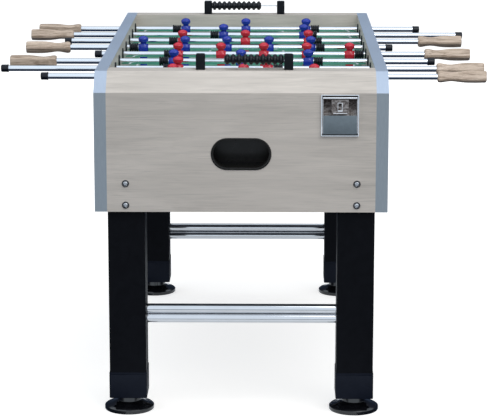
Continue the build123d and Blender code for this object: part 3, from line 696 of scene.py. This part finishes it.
def add_handle(number, body, y, z):
    """Turned grip from its rounded tip to the rod, at the turn it has in the photograph."""
    low, high = millimetres(f"rod_{number}_handle")
    length = high.x - low.x
    outward = -1 if low.x < 0 else 1
    tip = low.x if outward < 0 else high.x
    turns = [("Z", 180.0)] if outward > 0 else []
    place = at(tip, y, z, *turns, ("X", HANDLE_TURN[number - 1]))
    rings = [chamfered_square(width, share, along * length)
             for along, width, share in curve_through(HANDLE_STATIONS, 3)]
    name = f"rod_{number}_grip"
    finish_piece(loft(name, rings, place), name, "handle", body, [f"rod_{number}_handle"])


def add_tube(number, body, y, z):
    """Plated tube with its outer edges rounded at both ends."""
    low, high = millimetres(f"rod_{number}_tube")
    length = high.x - low.x
    bore = ROD_RADIUS - ROD_WALL
    outline = rounded([(bore, 0.0), (ROD_RADIUS, 0.0, 0.6), (ROD_RADIUS, length, 0.6), (bore, length)], 0.0)
    name = f"rod_{number}_bar"
    mesh = lathe(name, outline, at(low.x, y, z, ALONG_X), 64)
    finish_piece(mesh, name, "rod", body, [f"rod_{number}_tube"])


BUMPER_START = 15.0
CAP_LENGTH = 20.5
BEARING_FLANGE = 4.0
BUMPER = rounded([
    (8.05, 0.0, 0.3), (13.0, 0.0, 1.4), (13.0, 4.8, 1.2), (9.8, 5.6, 0.6), (9.8, 7.0, 0.6), (13.0, 7.8, 1.2),
    (13.0, 11.2, 1.2), (9.8, 12.0, 0.6), (9.8, 13.5, 0.6), (13.0, 14.3, 1.2), (13.0, 17.7, 1.2),
    (9.8, 18.5, 0.6), (9.8, 19.9, 0.6), (13.0, 20.7, 1.2), (13.0, 25.5, 1.4), (8.05, 25.5, 0.3),
], 0.6)
CAP = rounded([
    (8.05, 0.0, 0.3), (10.5, 0.0, 0.8), (10.5, 3.2, 0.6), (10.1, 3.9, 0.4), (10.1, CAP_LENGTH, 3.6),
    (0.0, CAP_LENGTH, 0.0), (0.0, 17.0, 0.0), (8.05, 17.0, 0.3),
], 0.4)
BEARING = rounded([
    (8.05, 0.0, 0.4), (11.6, 0.0, 0.5), (12.4, 0.9, 0.6), (16.4, 0.9, 0.8), (17.5, 2.0, 0.8),
    (17.5, BEARING_FLANGE, 0.0), (11.0, BEARING_FLANGE, 0.0), (11.0, 36.0, 0.3), (8.05, 36.0, 0.4),
], 0.4)


def add_rubbers(number, body, y, z):
    """Two ribbed bumpers outside the outer men and one domed cap on the end with no handle."""
    low, high = millimetres(f"rod_{number}_men")
    count = MEN_ON_ROD[number - 1]
    middle = (low.x + high.x) / 2
    spread = (count - 1) / 2 * MAN_PITCH[count]
    node = f"rod_{number}_rubbers"
    for side, place_name in SIDES:
        start = middle + side * (spread + BUMPER_START)
        name = f"rod_{number}_bumper_{place_name}"
        mesh = lathe(name, BUMPER, at(start, y, z, ("Y", 90.0 * side)), 48)
        finish_piece(mesh, name, "rubber", body, [node])
    low, high = millimetres(node)
    outward = 1 if millimetres(f"rod_{number}_handle")[0].x < 0 else -1
    end = high.x if outward > 0 else low.x
    name = f"rod_{number}_end_cap"
    mesh = lathe(name, CAP, at(end - outward * CAP_LENGTH, y, z, ("Y", 90.0 * outward)), 48)
    finish_piece(mesh, name, "rubber", body, [node])


def add_bearings(number, y, z):
    """Flanged bearings of one rod, seated against the inner faces of the side boards."""
    for side, place_name in SIDES:
        name = f"rod_{number}_bearing_{place_name}"
        mesh = lathe(name, BEARING, at(side * (SIDE_INNER - BEARING_FLANGE), y, z, ("Y", 90.0 * side)), 48)
        finish_piece(mesh, name, "bearing", "cabinet", ["rod_bearings"])


def add_rods():
    """Everything on the rods, in the order of the frame's spin joints."""
    for joint in frame["joints"]:
        if joint["name"].endswith("_spin"):
            body = joint["child"]
            number = int(body.split("_")[1])
            _, y, z = (v / MM for v in joint["pos_m"])
            add_men(number, body, y, z)
            add_handle(number, body, y, z)
            add_tube(number, body, y, z)
            add_rubbers(number, joint["parent"], y, z)
            add_bearings(number, y, z)


# ---------------------------------------------------------------- levellers and boots
LEVELLER = rounded([
    (0.0, 0.0, 0.0), (64.5, 0.0, 1.5), (66.0, 2.0, 1.5), (66.0, 10.5, 2.2), (61.5, 13.6, 1.5),
    (60.0, 13.0, 0.6), (58.6, 13.9, 0.8), (47.0, 17.0, 8.0), (36.0, 22.5, 6.0), (32.6, 25.5, 2.5),
    (31.0, 39.0, 1.5), (28.0, 40.5, 1.0), (5.0, 40.5, 0.0), (5.0, 92.0, 0.5), (0.0, 92.0, 0.0),
], 1.0, 5)
BOOT_CORNER = 3.4
# Rings of a boot are (height, half width)
BOOT_RINGS = ((41.0, 48.6), (41.8, 49.6), (43.4, 50.0), (104.5, 50.0), (105.2, 49.6), (106.2, 49.6),
              (106.9, 50.0), (110.6, 50.0), (111.6, 49.7), (112.0, 49.1))


def rounded_square(half, corner, z, steps=5):
    points = [(half, half), (-half, half), (-half, -half), (half, -half)]
    return [(x, y, z) for x, y in rounded(points, corner, steps)]


def add_foot(name):
    """Levelling foot of one leg, and the boot round the leg above it."""
    low, high = millimetres(f"leveller_{name}")
    x, y = (low.x + high.x) / 2, (low.y + high.y) / 2
    mesh = lathe(f"foot_{name}", LEVELLER, at(x, y, 0.0), 96)
    finish_piece(mesh, f"foot_{name}", "foot", f"leveller_{name}", [f"leveller_{name}"])
    rings = [rounded_square(half, BOOT_CORNER, z) for z, half in BOOT_RINGS]
    mesh = loft(f"boot_{name}", rings, at(x, y, 0.0))
    finish_piece(mesh, f"boot_{name}", "boot", "cabinet", ["leg_boots"])


# ---------------------------------------------------------------- leg bolts
BOLT_X = 300.5
BOLT_HEIGHTS = (570.0, 627.0)
WASHER_THICKNESS = 2.0
WASHER = rounded([(4.2, 0.0, 0.2), (9.4, 0.0, 0.3), (9.4, 1.5, 0.7), (8.4, WASHER_THICKNESS, 0.4),
                  (4.2, WASHER_THICKNESS, 0.2)], 0.3)


def circle(radius, z, count=48):
    return [(radius * math.cos(2 * math.pi * i / count), radius * math.sin(2 * math.pi * i / count), z)
            for i in range(count)]


def hexagon(radius, z, count=48):
    """Hexagon with the same number of points as a circle."""
    ring = []
    for i in range(count):
        turn = 2 * math.pi * i / count
        off = (turn + math.pi / 6) % (math.pi / 3) - math.pi / 6
        reach = radius * math.cos(math.pi / 6) / math.cos(off)
        ring.append((reach * math.cos(turn), reach * math.sin(turn), z))
    return ring


def bolt_head():
    """Button head with a hexagon socket, its seat at the origin and its dome along +Z."""
    dome = [circle(4.0, -4.0), circle(4.0, 0.0), circle(6.6, 0.0), circle(6.6, 0.8), circle(6.3, 1.8),
            circle(5.6, 2.7), circle(4.8, 3.3), circle(4.1, 3.5)]
    socket = [hexagon(3.6, 3.5), hexagon(3.2, 3.1), hexagon(3.2, 0.6)]
    return dome + socket


def add_leg_bolt(label, x, end, height):
    """One bolt head on its washer, on the outside of an end board."""
    turn = ("X", 90.0 * -end)
    washer = lathe(f"leg_washer_{label}", WASHER, at(x, end * END, height, turn), 48)
    finish_piece(washer, washer.name, "washer", "cabinet", ["leg_bolts"])
    seat = at(x, end * (END + WASHER_THICKNESS), height, turn)
    head = loft(f"leg_bolt_{label}", bolt_head(), seat)
    finish_piece(head, head.name, "bolt", "cabinet", ["leg_bolts"])


def add_leg_bolts(end_name, end):
    for side, place_name in SIDES:
        for height in BOLT_HEIGHTS:
            label = f"{end_name}_{place_name}_{round(height)}"
            add_leg_bolt(label, side * BOLT_X, end, height)


# ---------------------------------------------------------------- scorers
# Rings of a post are (height, half width)
POST_RINGS = ((914.0, 12.0), (917.0, 12.0), (917.6, 11.6), (918.6, 11.6), (919.2, 12.0), (951.6, 12.0),
              (953.4, 11.5), (954.5, 10.5), (955.0, 9.2))
POST_CORNER = 2.4
BEADS = 10
BEAD_LENGTH = 15.5
BEAD = rounded([
    (1.7, 0.0, 0.4), (8.8, 0.0, 0.7), (9.0, 2.2, 0.8), (11.8, 3.4, 1.2), (13.8, 5.6, 1.6), (14.2, 7.75, 2.0),
    (13.8, 9.9, 1.6), (11.8, 12.1, 1.2), (9.0, 13.3, 0.8), (8.8, BEAD_LENGTH, 0.7),
    (1.7, BEAD_LENGTH, 0.4),
], 1.0)
SCORER_OFFSET = 8.0
POST_X = 115.0
SCORER_Y = 610.75


def add_scorer(end_name, end):
    """Two posts and the row of beads between them."""
    for side, place_name in SIDES:
        name = f"scorer_post_{end_name}_{place_name}"
        x = -end * SCORER_OFFSET + side * POST_X
        rings = [rounded_square(half, POST_CORNER, z, 3) for z, half in POST_RINGS]
        mesh = loft(name, rings, at(x, end * SCORER_Y, 0.0))
        finish_piece(mesh, name, "scorer", "cabinet", ["scorer_posts"])
    node = f"scorer_beads_{end_name}"
    low, high = millimetres(node)
    step = (high.x - low.x - BEAD_LENGTH) / (BEADS - 1)
    for i in range(BEADS):
        name = f"scorer_bead_{end_name}_{i + 1}"
        place = at(low.x + i * step, (low.y + high.y) / 2, (low.z + high.z) / 2, ALONG_X)
        finish_piece(lathe(name, BEAD, place, 48), name, "bead", node, [node])


# ---------------------------------------------------------------- ball returns
RETURN_Z = 705.6
# Rings of a return's lip are (half width, radius, depth outwards)
LIP = ((72.0, 35.5, -3.0), (72.2, 35.7, 0.6), (72.8, 36.3, 1.3), (74.0, 37.5, 1.8), (76.4, 39.9, 1.9),
       (77.9, 41.4, 1.5), (78.6, 42.1, 0.7), (78.6, 42.1, -0.5))


def stadium(half_width, radius, depth, steps=20):
    """Ring of a slot with round ends, standing in the XZ plane."""
    ring = []
    for side in (1, -1):
        for i in range(steps + 1):
            turn = math.radians(-90.0 + 180.0 * i / steps)
            ring.append((side * (half_width - radius + radius * math.cos(turn)), -depth,
                         side * radius * math.sin(turn)))
    return ring


def hoop(name, rings, place):
    """Closed ring-shaped solid: the last ring joins the first."""
    n = len(rings[0])
    vertices = [point for ring in rings for point in ring]
    faces = []
    for k in range(len(rings)):
        after = (k + 1) % len(rings)
        for i in range(n):
            j = (i + 1) % n
            faces.append((k * n + i, k * n + j, after * n + j, after * n + i))
    return mesh_of(name, vertices, faces, place)


def add_return_lip(end_name, end):
    name = f"return_lip_{end_name}"
    rings = [stadium(half_width, radius, depth) for half_width, radius, depth in LIP]
    turns = [("Z", 180.0)] if end > 0 else []
    mesh = hoop(name, rings, at(0.0, end * END, RETURN_Z, *turns))
    finish_piece(mesh, name, "cup", "cabinet", (), 40.0)


# ---------------------------------------------------------------- ashtrays
# Sizes are about the hinge pin, with y along the table and z up
TRAY_HALF = 45.5
TRAY_FRONT = -5.0
TRAY_SWING = 92.0
TRAY_SHEET = 1.5
TRAY_ARC = 34.0
TRAY_SPLIT = 47.0
TRAY_PIVOT = (255.0, 701.5, 761.0)
# Each edge painted near-white as a painted highlight is (name, middle, size)
TRAY_EDGES = (
    ("top", (0.0, -3.8, 92.6), (90.0, 2.4, 4.6)),
    ("left", (-44.5, -4.1, 46.0), (1.4, 1.8, 88.0)),
    ("right", (44.5, -4.1, 46.0), (1.4, 1.8, 88.0)),
    ("lip", (0.0, -4.0, 52.6), (37.0, 2.0, 1.7)),
    ("hole_top", (0.0, -4.3, 79.8), (13.0, 1.4, 1.4)),
    ("hole_bottom", (0.0, -4.3, 59.0), (13.0, 1.4, 3.4)),
    ("hole_left", (-5.8, -4.3, 69.0), (1.4, 1.4, 20.6)),
    ("hole_right", (5.8, -4.3, 69.0), (1.4, 1.4, 20.6)),
)
SHELL_FRONT = -4.0
SHELL_GAP = 0.2
FACE_SIZE = (87.4, 1.6, 49.0)
FACE_HEIGHT = 22.7
# The snuffer tab is cut on a grid: its slot and its square hole are cells left out
SNUFFER_THICKNESS = 1.2
SNUFFER_SETBACK = 0.4
SNUFFER_XS = (-22.0, -17.0, -3.5, 3.5, 17.0, 22.0)
SNUFFER_ZS = (TRAY_SPLIT - 1.0, TRAY_SPLIT + 0.6, TRAY_SPLIT + 3.6, 71.5, 78.5, 88.4)
SNUFFER_HOLES = ((1, 1), (2, 1), (3, 1), (2, 3))
TRAY_SHARP = 30.0


def strip(name, path, half_width, thickness, place):
    """Sheet of even thickness bent along a path in the YZ plane, thickened to the left of the path."""
    offsets = []
    for i, point in enumerate(path):
        before = Vector(path[max(i - 1, 0)])
        after = Vector(path[min(i + 1, len(path) - 1)])
        along = (after - before).normalized()
        offsets.append((point[0] - along.y * thickness, point[1] + along.x * thickness))
    outline = list(path) + offsets[::-1]
    rings = [[(x, y, z) for y, z in outline] for x in (-half_width, half_width)]
    n = len(path)
    vertices = [point for ring in rings for point in ring]
    count = len(outline)
    faces = [(i, (i + 1) % count, count + (i + 1) % count, count + i) for i in range(count)]
    for start in (0, count):
        for i in range(n - 1):
            faces.append((start + i, start + i + 1, start + count - 2 - i, start + count - 1 - i))
    return mesh_of(name, vertices, faces, place)


def plate(name, xs, zs, y, thickness, holes, place):
    """Flat sheet of grid cells with some left out, standing in the XZ plane."""
    cells = {(i, j) for i in range(len(xs) - 1) for j in range(len(zs) - 1)} - set(holes)
    vertices = []
    for depth in (y, y + thickness):
        vertices += [(x, depth, z) for x in xs for z in zs]
    rows = len(zs)
    back = len(xs) * rows

    def corner(i, j):
        return i * rows + j

    faces = []
    for i, j in cells:
        square = [corner(i, j), corner(i + 1, j), corner(i + 1, j + 1), corner(i, j + 1)]
        faces.append(tuple(square))
        faces.append(tuple(v + back for v in square))
        around = (((i, j - 1), 0, 1), ((i + 1, j), 1, 2), ((i, j + 1), 2, 3), ((i - 1, j), 3, 0))
        for beside, a, b in around:
            if beside not in cells:
                faces.append((square[a], square[b], square[b] + back, square[a] + back))
    return mesh_of(name, vertices, faces, place)


def arc_points(radius, start, stop, steps):
    """Points about the hinge pin, from upright (0 degrees) towards the back."""
    points = []
    for i in range(steps + 1):
        turn = math.radians(start + (stop - start) * i / steps)
        points.append((radius * math.sin(turn), radius * math.cos(turn)))
    return points


def tray_outline():
    """Side view of the bent sheet: round the back, along the floor and up the front."""
    front_turn = math.degrees(math.asin(TRAY_FRONT / TRAY_SWING))
    back = arc_points(TRAY_SWING, front_turn, TRAY_ARC, 24)
    floor = rounded([(back[-1][0], back[-1][1], 0.0), (22.0, -3.5, 4.0), (-2.0, -3.5, 2.5),
                     (SHELL_FRONT, -1.5, 2.0), (SHELL_FRONT, TRAY_SPLIT, 0.0)], 2.5, 5)[:-1]
    floor.append((SHELL_FRONT, TRAY_SPLIT))
    return back + floor[1:]


def add_tray_piece(mesh, material, node):
    finish_piece(mesh, mesh.name, material, node, [node], TRAY_SHARP)


def add_tray_sides(end_name, outline, node, place):
    half_sheet = TRAY_SHEET / 2
    for side, place_name in SIDES:
        x = side * (TRAY_HALF - half_sheet)
        rings = [[(x + offset, y, z) for y, z in outline] for offset in (-half_sheet, half_sheet)]
        add_tray_piece(loft(f"ashtray_side_{end_name}_{place_name}", rings, place), "ashtray_inside", node)


def add_ashtray(end_name, end):
    """Tip-out tray: bent shell, two sides, snuffer tab over its slot, face plate and edges painted
    near-white as a painted highlight.
    """
    node = f"ashtray_tray_{end_name}"
    turns = [("Z", 180.0)] if end > 0 else []
    place = at(-end * TRAY_PIVOT[0], end * TRAY_PIVOT[1], TRAY_PIVOT[2], *turns)
    outline = tray_outline()
    shell = strip(f"ashtray_shell_{end_name}", outline, TRAY_HALF - SHELL_GAP, -TRAY_SHEET, place)
    add_tray_piece(shell, "ashtray_inside", node)
    add_tray_sides(end_name, outline, node, place)
    snuffer = plate(f"ashtray_snuffer_{end_name}", SNUFFER_XS, SNUFFER_ZS, TRAY_FRONT + SNUFFER_SETBACK,
                    SNUFFER_THICKNESS, SNUFFER_HOLES, place)
    add_tray_piece(snuffer, "ashtray_inside", node)
    face_place = place @ at(0.0, TRAY_FRONT + FACE_SIZE[1] / 2, FACE_HEIGHT)
    add_tray_piece(block(f"ashtray_face_{end_name}", FACE_SIZE, face_place, 0.5), "ashtray_face", node)
    # The edges carry the near-white painted highlight.
    for label, centre, size in TRAY_EDGES:
        edge = block(f"ashtray_edge_{label}_{end_name}", size, place @ at(*centre), min(size) * 0.4)
        add_tray_piece(edge, "ashtray_edge_painted_highlight", node)


# ---------------------------------------------------------------- all the pieces
add_rods()
for place_name in ("front_left", "front_right", "rear_left", "rear_right"):
    add_foot(place_name)
for add_at_end in (add_leg_bolts, add_scorer, add_return_lip, add_ashtray):
    for end_name, end in ENDS:
        add_at_end(end_name, end)


# ---------------------------------------------------------------- studio: floor, light and camera
FLOOR_RADIUS = 40.0
FLOOR_GLOW = 0.62
CARD_HALF = (0.31, 1.2, 1.0)
CARD_HEIGHT = 0.5 * MM
CARD_GLOW = 0.45
SKY_LEAN = math.radians(30.0)
# The sky is dark low down and behind, and bright over the front: (share of the way up, colour)
SKY_STOPS = (
    (0.0, (0.035, 0.050, 0.080)), (0.44, (0.030, 0.042, 0.070)), (0.57, (0.07, 0.08, 0.11)),
    (0.62, (0.30, 0.33, 0.37)), (0.67, (0.93, 1.03, 1.14)), (1.0, (0.95, 1.05, 1.17)),
)
# Each light is (name, place, target, size, watts, colour, seen in mirrors)
LIGHTS = (
    ("overhead_softbox", (0.0, 0.3, 3.6), (0.0, 0.0, 0.5), (3.4, 3.0), 9.0, (0.80, 0.90, 1.0), False),
    ("key_light", (1.3, -2.4, 3.4), (0.0, 0.0, 0.7), (2.2, 1.6), 31.0, (1.0, 0.98, 0.96), True),
    ("front_fill", (2.6, -5.4, 3.2), (0.0, 0.0, 0.6), (4.6, 2.6), 8.0, (1.0, 0.88, 0.76), True),
    ("rear_fill", (-1.0, 5.6, 1.5), (0.0, 0.0, 0.7), (5.0, 1.8), 70.0, (1.0, 1.0, 1.0), False),
)
LENS = 155.0
SENSOR_WIDTH = 36.0
CAMERA_PLACE = (0.0776, -6.0443, 1.7045)
CAMERA_DIP = 12.08
CAMERA_TURN = 0.75


def stage_floor():
    """Wide pale floor that glows a little, so that its shadows stay light. Mirrors see sky instead."""
    shape = bmesh.new()
    bmesh.ops.create_circle(shape, cap_ends=True, segments=96, radius=FLOOR_RADIUS)
    mesh = bpy.data.meshes.new("studio_floor")
    shape.to_mesh(mesh)
    shape.free()
    s = Shader("studio_floor")
    cloud = s.noise(s.place, 0.6, 2.0)
    s.colour(s.mix(s.spread(cloud, 0.3, 0.7), (0.64, 0.60, 0.555), (0.67, 0.63, 0.580)))
    s.set(Roughness=0.9, Emission_Color=(1.0, 1.0, 1.0, 1.0), Emission_Strength=FLOOR_GLOW)
    mesh.materials.append(s.material)
    floor = bpy.data.objects.new("studio_floor", mesh)
    bpy.context.scene.collection.objects.link(floor)
    floor.visible_glossy = False
    floor.visible_diffuse = False


def floor_card():
    """Pale card under the table that only mirrors see, which lights the stretchers from below."""
    shape = bmesh.new()
    bmesh.ops.create_grid(shape, x_segments=6, y_segments=12, size=1.0)
    bmesh.ops.scale(shape, vec=Vector(CARD_HALF), verts=shape.verts)
    mesh = bpy.data.meshes.new("floor_card")
    shape.to_mesh(mesh)
    shape.free()
    s = Shader("floor_card")
    cloud = s.noise(s.place, 2.0, 2.0)
    s.colour(s.mix(s.spread(cloud, 0.3, 0.7), (0.50, 0.50, 0.50), (0.54, 0.54, 0.54)))
    s.set(Roughness=0.9, Emission_Color=(0.90, 0.95, 1.0, 1.0), Emission_Strength=CARD_GLOW)
    mesh.materials.append(s.material)
    card = bpy.data.objects.new("floor_card", mesh)
    bpy.context.scene.collection.objects.link(card)
    card.location.z = CARD_HEIGHT
    card.visible_camera = False
    card.visible_diffuse = False
    card.visible_shadow = False


def sky():
    """Soft studio light, cool and bright over the front half of the room and dim low down and behind."""
    world = bpy.data.worlds.new("studio")
    bpy.context.scene.world = world
    world.use_nodes = True
    nodes = world.node_tree.nodes
    links = world.node_tree.links
    coordinates = nodes.new("ShaderNodeTexCoord")
    lean = nodes.new("ShaderNodeVectorMath")
    lean.operation = "DOT_PRODUCT"
    lean.inputs[1].default_value = (0.0, -math.sin(SKY_LEAN), math.cos(SKY_LEAN))
    links.new(coordinates.outputs["Generated"], lean.inputs[0])
    height = nodes.new("ShaderNodeMapRange")
    height.inputs["From Min"].default_value = -1.0
    height.inputs["From Max"].default_value = 1.0
    links.new(lean.outputs["Value"], height.inputs["Value"])
    ramp = nodes.new("ShaderNodeValToRGB")
    for element, (position, colour) in zip(ramp.color_ramp.elements, (SKY_STOPS[0], SKY_STOPS[-1])):
        element.position = position
        element.color = (*colour, 1.0)
    for position, colour in SKY_STOPS[1:-1]:
        ramp.color_ramp.elements.new(position).color = (*colour, 1.0)
    links.new(height.outputs["Result"], ramp.inputs["Fac"])
    links.new(ramp.outputs["Color"], nodes["Background"].inputs["Color"])


def area_light(name, place, target, size, power, tint, mirrored):
    data = bpy.data.lights.new(name, "AREA")
    data.shape = "RECTANGLE"
    data.size, data.size_y = size
    data.energy = power
    data.color = tint
    light = bpy.data.objects.new(name, data)
    light.location = place
    light.rotation_euler = (Vector(target) - Vector(place)).to_track_quat("-Z", "Y").to_euler()
    light.visible_camera = False
    light.visible_glossy = mirrored
    bpy.context.scene.collection.objects.link(light)


def camera():
    """Long lens, low over the near end of the table."""
    data = bpy.data.cameras.new("camera")
    data.lens = LENS
    data.sensor_width = SENSOR_WIDTH
    view = bpy.data.objects.new("camera", data)
    view.location = CAMERA_PLACE
    view.rotation_euler = (math.radians(90.0 - CAMERA_DIP), 0.0, math.radians(CAMERA_TURN))
    bpy.context.scene.collection.objects.link(view)
    bpy.context.scene.camera = view


stage_floor()
floor_card()
sky()
for light in LIGHTS:
    area_light(*light)
camera()
bpy.context.scene.view_settings.view_transform = "Standard"
